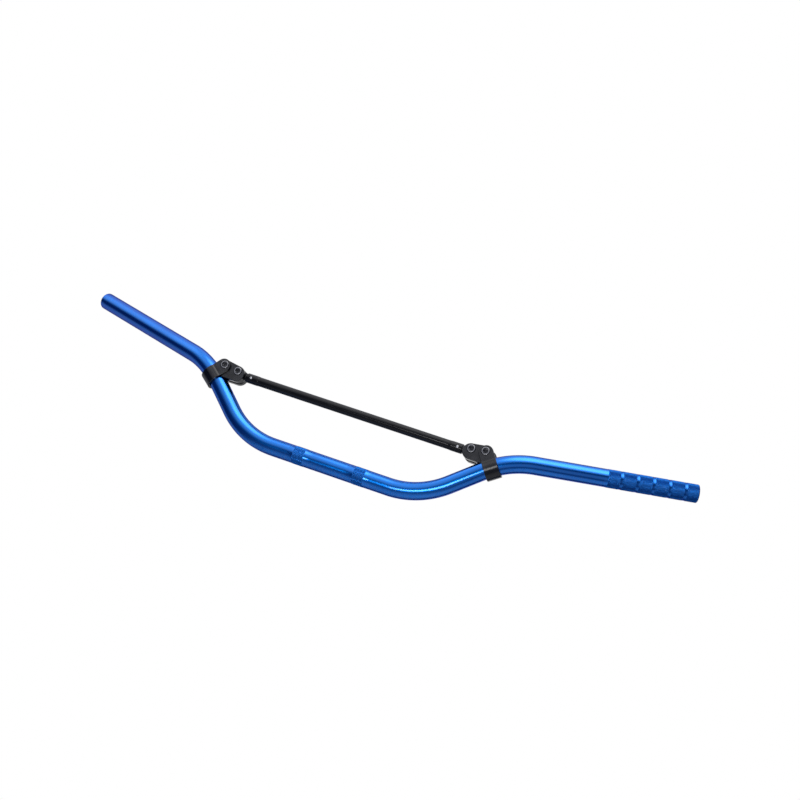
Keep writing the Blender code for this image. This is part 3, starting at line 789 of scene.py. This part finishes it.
# The crossbar: a straight aluminium tube, 11.6 mm across and a little fatter at its ends,
# drawn, cut and anodised a glossier black than the brackets. A cross pin near each end holds
# its end fitting.
CROSSBAR_RADIUS = 0.0058
CROSSBAR_END_RADIUS = 0.0061
CROSSBAR_END_LENGTH = 0.0140
CROSSBAR_TAPER = 0.0040
CROSSBAR_BORE = 0.0041
CROSSBAR_EDGE = 0.0005
PIN_RADIUS = 0.0015
PIN_INSET = 0.0060
PIN_ROOM = 0.0030  # from a pin to the tube's next ring of points, each way
PIN_HOLE_EDGE = 0.0004
PIN_COLUMNS = 48
TAPER_STEPS = 6

crossbar_end_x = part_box("crossbar_tube")[1][0]
crossbar_axis = middle_of("crossbar_tube")
along_x = Matrix.Translation(crossbar_axis) @ Matrix.Rotation(math.pi / 2, 4, "Y")


def pin_spot(side):
    """Place of a cross pin, on the crossbar's centre line."""
    pin_x = side * (crossbar_end_x - PIN_INSET)
    return facing_front((pin_x, crossbar_axis.y, crossbar_axis.z))


def both_halves(upper):
    """A profile's upper half, and its mirror image below."""
    return upper + [(radius, -height) for radius, height in reversed(upper)]


def pin_hole_tool(name, side):
    """Tool for a cross pin's hole, with its edge broken at the tube's front and back."""
    radius = PIN_RADIUS + GAP
    above = CROSSBAR_END_RADIUS + TOOL_MARGIN
    upper = [(0, above), (radius + PIN_HOLE_EDGE + TOOL_MARGIN, above)]
    upper += [(radius, CROSSBAR_END_RADIUS - PIN_HOLE_EDGE)]
    return turned(name, both_halves(upper), pin_spot(side), columns=PIN_COLUMNS)


swell = crossbar_end_x - CROSSBAR_END_LENGTH
half_profile = [
    (
        CROSSBAR_END_RADIUS - CROSSBAR_EDGE * (1 - math.sin(turn)),
        crossbar_end_x - CROSSBAR_EDGE * (1 - math.cos(turn)),
    )
    for turn in quarter_turn(EDGE_STEPS)
]
near_pin = crossbar_end_x - PIN_INSET
half_profile += [(CROSSBAR_END_RADIUS, near_pin + PIN_ROOM)]
half_profile += [(CROSSBAR_END_RADIUS, near_pin - PIN_ROOM), (CROSSBAR_END_RADIUS, swell)]
for i in range(1, TAPER_STEPS + 1):
    share = i / TAPER_STEPS
    eased = share * share * (3 - 2 * share)
    radius = CROSSBAR_END_RADIUS + (CROSSBAR_RADIUS - CROSSBAR_END_RADIUS) * eased
    half_profile.append((radius, swell - CROSSBAR_TAPER * share))
profile = both_halves(half_profile)
profile += [(CROSSBAR_BORE, -crossbar_end_x), (CROSSBAR_BORE, crossbar_end_x)]
crossbar = turned("straight_crossbar", profile, along_x, bored=True)
for side_name, side in LEFT_TO_RIGHT:
    combine(crossbar, pin_hole_tool(f"{side_name}_pin_hole_tool", side))
glossy_black = black_finish("glossy_black_anodised", (0.17, 0.24), refraction=1.36, flat_side_sheen=0.0)
fit(settle(crossbar), "crossbar_tube", glossy_black)


# The crossbar's end fittings: turned and milled from one piece of black anodised aluminium.
# A plug fits in the tube, a short collar stands out of it, and a flat tongue with an eye for
# the pivot screw goes between the ears.
COLLAR_RADIUS = 0.0052
COLLAR_EDGE = 0.0004
PLUG_LENGTH = 0.0180
TONGUE_NECK_HALF = 0.0044
TONGUE_EDGE = 0.0004
EYE_TOOL_HALF = 0.010

for side_name, side in LEFT_TO_RIGHT:
    pivot_bolt = bolt_place(side_name, "pivot")
    collar_start = crossbar_end_x + GAP
    ear_x = abs(pivot_bolt.x)
    collar_end = ear_x - EAR_RADIUS - GAP
    plug_radius = CROSSBAR_BORE - GAP
    profile = [
        (0, collar_end),
        (COLLAR_RADIUS - COLLAR_EDGE, collar_end),
        (COLLAR_RADIUS, collar_end - COLLAR_EDGE),
        (COLLAR_RADIUS, collar_start + COLLAR_EDGE),
        (COLLAR_RADIUS - COLLAR_EDGE, collar_start),
        (plug_radius, collar_start),
        (plug_radius, crossbar_end_x - PLUG_LENGTH),
        (0, crossbar_end_x - PLUG_LENGTH),
    ]
    middle = (0, crossbar_axis.y, crossbar_axis.z)
    fitting_place = Matrix.Translation(middle) @ Matrix.Rotation(side * math.pi / 2, 4, "Y")
    fitting = turned(f"{side_name}_end_fitting", profile, fitting_place)
    eye_centre = (side * ear_x, pivot_bolt.z - EAR_DROP - crossbar_axis.z)
    eye = circle(eye_centre, EAR_RADIUS - TONGUE_INSET)
    neck_x = side * (collar_start + collar_end) / 2
    outline = hull([*eye, (neck_x, -TONGUE_NECK_HALF), (neck_x, TONGUE_NECK_HALF)])
    tongue = plate("tongue", outline, TONGUE_THICKNESS / 2, facing_front(middle))
    soften(tongue, TONGUE_EDGE, segments=2)
    combine(fitting, tongue, "UNION")
    combine(fitting, plain_hole("eye_tool", EYE_TOOL_HALF, facing_front(pivot_bolt)))
    combine(fitting, pin_hole_tool("fitting_pin_tool", side))
    fit(settle(fitting), f"{side_name}_crossbar_end", black_anodised)


# The cross pins: short pins of blackened steel, with slightly domed ends turned bright. Each
# is pressed through the crossbar tube and the plug inside it.
PIN_RECESS = 0.0003
PIN_DOME = 0.00025
PIN_DOME_STEPS = 8
STEEL = (0.035, 0.035, 0.038, 1)
STEEL_PATCHES = (0.055, 0.055, 0.058, 1)
STEEL_TURNED_AND_HIGHLIGHT = (0.55, 0.55, 0.56, 1)  # where it is turned bright, and as painted highlight on its edges
STEEL_ROUGHNESS = (0.24, 0.34)

black_steel, tree, shader = new_finish("black_steel")
tooth = placed_effect(tree, blasted_grain, Fineness=2200.0, Depth=0.6)
edges = placed_effect(tree, painted_edge_highlights, Edge_width=0.00035, Amount=0.9)
oxide = colour_mix(tree, tooth.outputs["Tone"], STEEL, STEEL_PATCHES)
turned_bright = add(tree, "Attribute", attribute_name="turned_bright").outputs["Fac"]
surface = colour_mix(tree, turned_bright, oxide, STEEL_TURNED_AND_HIGHLIGHT)
# Painted highlights: the outer edges get the bare steel colour.
steel_with_edge_highlights = colour_mix(tree, edges.outputs["Mask"], surface, STEEL_TURNED_AND_HIGHLIGHT)
tree.links.new(steel_with_edge_highlights, shader.inputs["Base Color"])
polish = ranged(tree, tooth.outputs["Tone"], 0.0, 1.0, *STEEL_ROUGHNESS)
tree.links.new(polish, shader.inputs["Roughness"])
fine_bump(tree, shader, tooth.outputs["Height"], strength=0.08)
shader.inputs["Metallic"].default_value = 1.0


def turn_bright(piece, place, brightness, is_turned):
    """Marks the faces that were turned bright, each judged by its middle in the given place."""
    bright = piece.data.attributes.new("turned_bright", "FLOAT", "FACE")
    to_place = place.inverted() @ piece.matrix_world
    for face in piece.data.polygons:
        bright.data[face.index].value = brightness * is_turned(to_place @ face.center)


pin_end = CROSSBAR_END_RADIUS - PIN_RECESS
dome = [
    (PIN_RADIUS * math.sin(turn), pin_end - PIN_DOME * (1 - math.cos(turn)))
    for turn in quarter_turn(PIN_DOME_STEPS)
]
for side_name, side in LEFT_TO_RIGHT:
    pin = turned(f"{side_name}_cross_pin", both_halves(dome), pin_spot(side), columns=PIN_COLUMNS)
    settle(pin)
    turn_bright(pin, pin_spot(side), 1.0, lambda middle: abs(middle.z) > pin_end - PIN_DOME)
    fit(pin, f"{side_name}_crossbar_pin", black_steel)


# The screws: low-headed M6 socket screws of blackened steel, put in from the front, the heads
# sunk in counterbores. Their rims are turned bright, and the socket takes a 5 mm key.
HEAD_RADIUS = 0.0050
HEAD_HEIGHT = 0.0026
HEAD_EDGE = 0.0005
HEAD_EDGE_STEPS = 5
HEAD_BACK_CHAMFER = 0.0001
RIM_INNER = 0.0037  # radius where the bright part of the rim starts
RIM_BRIGHTNESS = 0.5
SHANK_RADIUS = 0.0030
SHANK_FILLET = 0.0002
SOCKET_FLATS = 0.0050
SOCKET_CORNER = SOCKET_FLATS / 2 / math.cos(math.pi / 6)
SOCKET_DEPTH = 0.0024
SOCKET_LEAD = 0.00025
NUT_HEIGHT = 0.0050
SCREW_TAIL = 0.0010
THREAD_PITCH = 0.0010
THREAD_DEPTH = 0.00055
THREAD_LENGTH = 0.0085
THREAD_COLUMNS = 36
THREAD_ROWS = 8  # rows for each turn of the thread


def hexagon(corner):
    """Outline of a hexagon, from the distance of its corners to its middle."""
    turns = [math.pi / 3 * i for i in range(6)]
    return [(corner * math.cos(turn), corner * math.sin(turn)) for turn in turns]


def screw_rows(top, seat, tail):
    """Rows down a screw, from its head to its tail: height, and its points' radii."""
    outline = [(0, top), (RIM_INNER, top)]
    outline += [
        (HEAD_RADIUS - HEAD_EDGE * (1 - math.sin(t)), top - HEAD_EDGE * (1 - math.cos(t)))
        for t in quarter_turn(HEAD_EDGE_STEPS)
    ]
    outline += [(HEAD_RADIUS, seat + HEAD_BACK_CHAMFER), (HEAD_RADIUS - HEAD_BACK_CHAMFER, seat)]
    outline += [(SHANK_RADIUS + SHANK_FILLET, seat), (SHANK_RADIUS, seat - SHANK_FILLET)]
    thread_top = tail + THREAD_LENGTH
    outline.append((SHANK_RADIUS, thread_top))
    rows = [(height, [radius] * THREAD_COLUMNS) for radius, height in outline]
    count = round(THREAD_LENGTH / THREAD_PITCH * THREAD_ROWS)
    for i in range(1, count + 1):
        height = thread_top - THREAD_LENGTH * i / count
        run_out = 1 - (thread_top - height) / THREAD_PITCH
        tail_limit = SHANK_RADIUS - max(0.0, THREAD_DEPTH - (height - tail))
        radii = []
        for turn in full_turn(THREAD_COLUMNS):
            phase = (height / THREAD_PITCH - turn / (2 * math.pi)) % 1
            radius = SHANK_RADIUS - THREAD_DEPTH * abs(2 * phase - 1)
            if run_out > 0:
                radius += (SHANK_RADIUS - radius) * run_out
            radii.append(min(radius, tail_limit))
        rows.append((height, radii))
    return [*rows, (tail, [0] * THREAD_COLUMNS)]


def socket_screw(name, seat, tail, place):
    """Head with its socket and bright rim, plain shank and rolled thread, about local Z."""
    top = seat + HEAD_HEIGHT
    screw = mesh_piece(name, *ringed(screw_rows(top, seat, tail)), place)
    socket_place = place @ Matrix.Translation((0, 0, top))
    combine(screw, plate("socket_tool", hexagon(SOCKET_CORNER), SOCKET_DEPTH, socket_place))
    lead = [(0, TOOL_MARGIN), (SOCKET_CORNER + SOCKET_LEAD + TOOL_MARGIN, TOOL_MARGIN)]
    lead += [(SOCKET_CORNER - SOCKET_LEAD, -2 * SOCKET_LEAD), (0, -2 * SOCKET_LEAD)]
    combine(screw, turned("lead_tool", lead, socket_place))
    settle(screw)

    def on_rim(middle):
        return middle.xy.length > RIM_INNER and middle.z > top - HEAD_EDGE

    turn_bright(screw, place, RIM_BRIGHTNESS, on_rim)
    return screw


for side_name, side in LEFT_TO_RIGHT:
    for bolt, face, sink in (("clamp", STRAP_OUTER, STRAP_SINK), ("pivot", BLOCK_HALF, EAR_SINK)):
        screw_place = facing_front(bolt_place(side_name, bolt))
        tail = -face - GAP - NUT_HEIGHT - SCREW_TAIL
        screw = socket_screw(f"{side_name}_{bolt}_screw", face - sink + GAP, tail, screw_place)
        fit(screw, f"{side_name}_{bolt}_bolt", black_steel)


# The nuts: hexagon nuts of blackened steel, 10 mm across flats, chamfered on both faces. They
# are drawn up against the back of the straps and ears.
NUT_FLATS = 0.0100
NUT_CORNER = NUT_FLATS / 2 / math.cos(math.pi / 6)
NUT_EDGE = 0.0005
NUT_BORE_EDGE = 0.0003

nut_half = NUT_HEIGHT / 2
above = nut_half + TOOL_MARGIN
crown = NUT_CORNER - NUT_EDGE
crown_profile = [(0, above), (crown, above), (crown, nut_half)]
crown_profile += [(NUT_CORNER + NUT_EDGE / 2, nut_half - NUT_EDGE)]
bore_profile = [(0, above), (SCREW_HOLE + NUT_BORE_EDGE + TOOL_MARGIN, above)]
bore_profile += [(SCREW_HOLE, nut_half - NUT_BORE_EDGE)]
for side_name, side in LEFT_TO_RIGHT:
    for bolt, face in (("clamp", STRAP_OUTER), ("pivot", BLOCK_HALF)):
        middle = Matrix.Translation((0, 0, -face - GAP - nut_half))
        nut_place = facing_front(bolt_place(side_name, bolt)) @ middle
        nut = plate(f"{side_name}_{bolt}_hex_nut", hexagon(NUT_CORNER), nut_half, nut_place)
        combine(nut, turned("crown_tool", both_halves(crown_profile), nut_place), "INTERSECT")
        combine(nut, turned("bore_tool", both_halves(bore_profile), nut_place))
        fit(settle(nut), f"{side_name}_{bolt}_nut", black_steel)


# The photographer's set: the bar hangs over a pale floor, in white surroundings, with soft
# lights above, in front and low at the sides. The camera stands low in front, to the right,
# and looks up at it.
FLOOR_MIDDLE = (0.0, 0.0, -0.62)
FLOOR_RADIUS = 1.2
FLOOR_DEPTH = 0.7  # front to back, as a share of its width
FLOOR_SIDES = 96
FLOOR_STRENGTH = 0.65  # how solid its middle is
FLOOR_FADE = (0.20 * FLOOR_RADIUS, 0.85 * FLOOR_RADIUS)  # where it starts and ends fading out
FLOOR_COLOUR = (0.80, 0.80, 0.80, 1)
FLOOR_ROUGHNESS = 0.9
FLOOR_SPECULAR = 0.1
CAMERA_PLACE = (0.781029, -2.133361, -0.439207)
CAMERA_RIGHT = Vector((0.9020769, 0.2128625, 0.3754289))
CAMERA_DOWN = Vector((0.2951841, 0.3302900, -0.8965349))
CAMERA_AHEAD = Vector((-0.3148391, 0.9195641, 0.2351133))
LENS = 85.587  # in millimetres
IMAGE_SIZE = 800
FRAME_SHIFT = 0.6  # of a picture element, right and down

floor_edge = [
    (FLOOR_RADIUS * math.cos(turn), FLOOR_RADIUS * math.sin(turn), 0)
    for turn in full_turn(FLOOR_SIDES)
]
floor_place = Matrix.Translation(FLOOR_MIDDLE) @ Matrix.Diagonal((1.0, FLOOR_DEPTH, 1.0, 1.0))
floor_piece = mesh_piece("floor", floor_edge, [tuple(range(FLOOR_SIDES))], floor_place)
floor_paint, tree, shader = new_finish("floor_paint")
shader.inputs["Base Color"].default_value = FLOOR_COLOUR
shader.inputs["Roughness"].default_value = FLOOR_ROUGHNESS
shader.inputs["Specular IOR Level"].default_value = FLOOR_SPECULAR
on_floor = add(tree, "TexCoord").outputs["Object"]
from_middle = add(tree, "VectorMath", {0: on_floor}, operation="LENGTH").outputs["Value"]
fade = ranged(tree, from_middle, *FLOOR_FADE, 1 - FLOOR_STRENGTH, 1.0)
clear = add(tree, "BsdfTransparent")
floor_mix = add(tree, "MixShader", {0: fade, 1: shader.outputs[0], 2: clear.outputs[0]})
tree.links.new(floor_mix.outputs[0], tree.nodes["Material Output"].inputs["Surface"])
floor_piece.data.materials.append(floor_paint)


def soft_box(name, place, width, height, brightness):
    """A rectangular soft lamp that faces the middle of the bar."""
    lamp_data = bpy.data.lights.new(name, "AREA")
    lamp_data.shape = "RECTANGLE"
    lamp_data.size = width
    lamp_data.size_y = height
    lamp_data.energy = brightness * math.pi * width * height
    lamp = bpy.data.objects.new(name, lamp_data)
    lamp.location = place
    lamp.rotation_euler = Vector(place).to_track_quat("Z", "Y").to_euler()
    lamp.visible_camera = False
    bpy.context.scene.collection.objects.link(lamp)


soft_box("low_strip", (0.06, -1.42, -0.38), width=0.86, height=0.34, brightness=7.5)

# Each soft light: degrees from the front towards the right, degrees up, radius of its even
# part and of the whole in degrees, and strength.
SOFT_LIGHTS = (
    (-35, 60, 20, 68, 1.15),
    (10, 62, 12, 30, 2.40),
    (25, 42, 8, 25, 0.80),
    (-78, 33, 8, 28, 0.50),
    (-165, 45, 20, 50, 0.35),
    (35, -16, 5, 25, 0.40),
    (0, -50, 15, 50, 0.15),
    (-118, -25, 12, 34, 0.50),
    (105, -60, 12, 34, 0.45),
)
BACKDROP = (180, 6, 25, 42, 1.0)  # in the same order, the white that shiny pieces mirror
DIM_FILL = (0.02, 0.04, 0.12)  # bluish light from all round


def bearing(azimuth, elevation):
    """Direction from the object, with azimuth 0 to the front and 90 to the right."""
    azimuth, elevation = math.radians(azimuth), math.radians(elevation)
    level = math.cos(elevation)
    return level * math.sin(azimuth), -level * math.cos(azimuth), math.sin(elevation)


def soft_spot(tree, direction, azimuth, elevation, even, whole, strength):
    """Brightness of one soft light, which fades out towards its edge."""
    towards = bearing(azimuth, elevation)
    aim = add(tree, "VectorMath", {0: direction, 1: towards}, operation="DOT_PRODUCT")
    feeds = {0: aim.outputs["Value"], 1: math.cos(math.radians(whole))}
    feeds |= {2: math.cos(math.radians(even)), 3: 0.0, 4: strength}
    return add(tree, "MapRange", feeds, interpolation_type="SMOOTHSTEP").outputs[0]


studio = bpy.data.worlds.new("studio")
studio.use_nodes = True
tree = studio.node_tree
direction = add(tree, "TexCoord").outputs["Generated"]
light = 0.0
for row in SOFT_LIGHTS:
    light = maths(tree, "ADD", light, soft_spot(tree, direction, *row))
seen = add(tree, "LightPath").outputs
by_shiny_piece = maths(tree, "MAXIMUM", seen["Is Glossy Ray"], seen["Is Transmission Ray"])
mirrored = maths(tree, "MULTIPLY", by_shiny_piece, soft_spot(tree, direction, *BACKDROP))
white = maths(tree, "MAXIMUM", seen["Is Camera Ray"], mirrored)
room = add(tree, "VectorMath", {0: light, 1: DIM_FILL}, operation="ADD").outputs[0]
shown = colour_mix(tree, white, room, (1, 1, 1, 1))
tree.links.new(shown, tree.nodes["Background"].inputs["Color"])
tree.nodes["Background"].inputs["Strength"].default_value = 1.0

camera_data = bpy.data.cameras.new("camera")
camera_data.sensor_width = 36
camera_data.lens = LENS
camera_data.clip_start = 0.1
camera_data.clip_end = 20
camera_data.shift_x = -FRAME_SHIFT / IMAGE_SIZE
camera_data.shift_y = FRAME_SHIFT / IMAGE_SIZE
camera = bpy.data.objects.new("camera", camera_data)
bpy.context.scene.collection.objects.link(camera)
camera_axes = Matrix((CAMERA_RIGHT, -CAMERA_DOWN, -CAMERA_AHEAD)).transposed().to_4x4()
camera.matrix_world = Matrix.Translation(CAMERA_PLACE) @ camera_axes

scene = bpy.context.scene
scene.camera = camera
scene.world = studio
scene.view_settings.view_transform = "Standard"
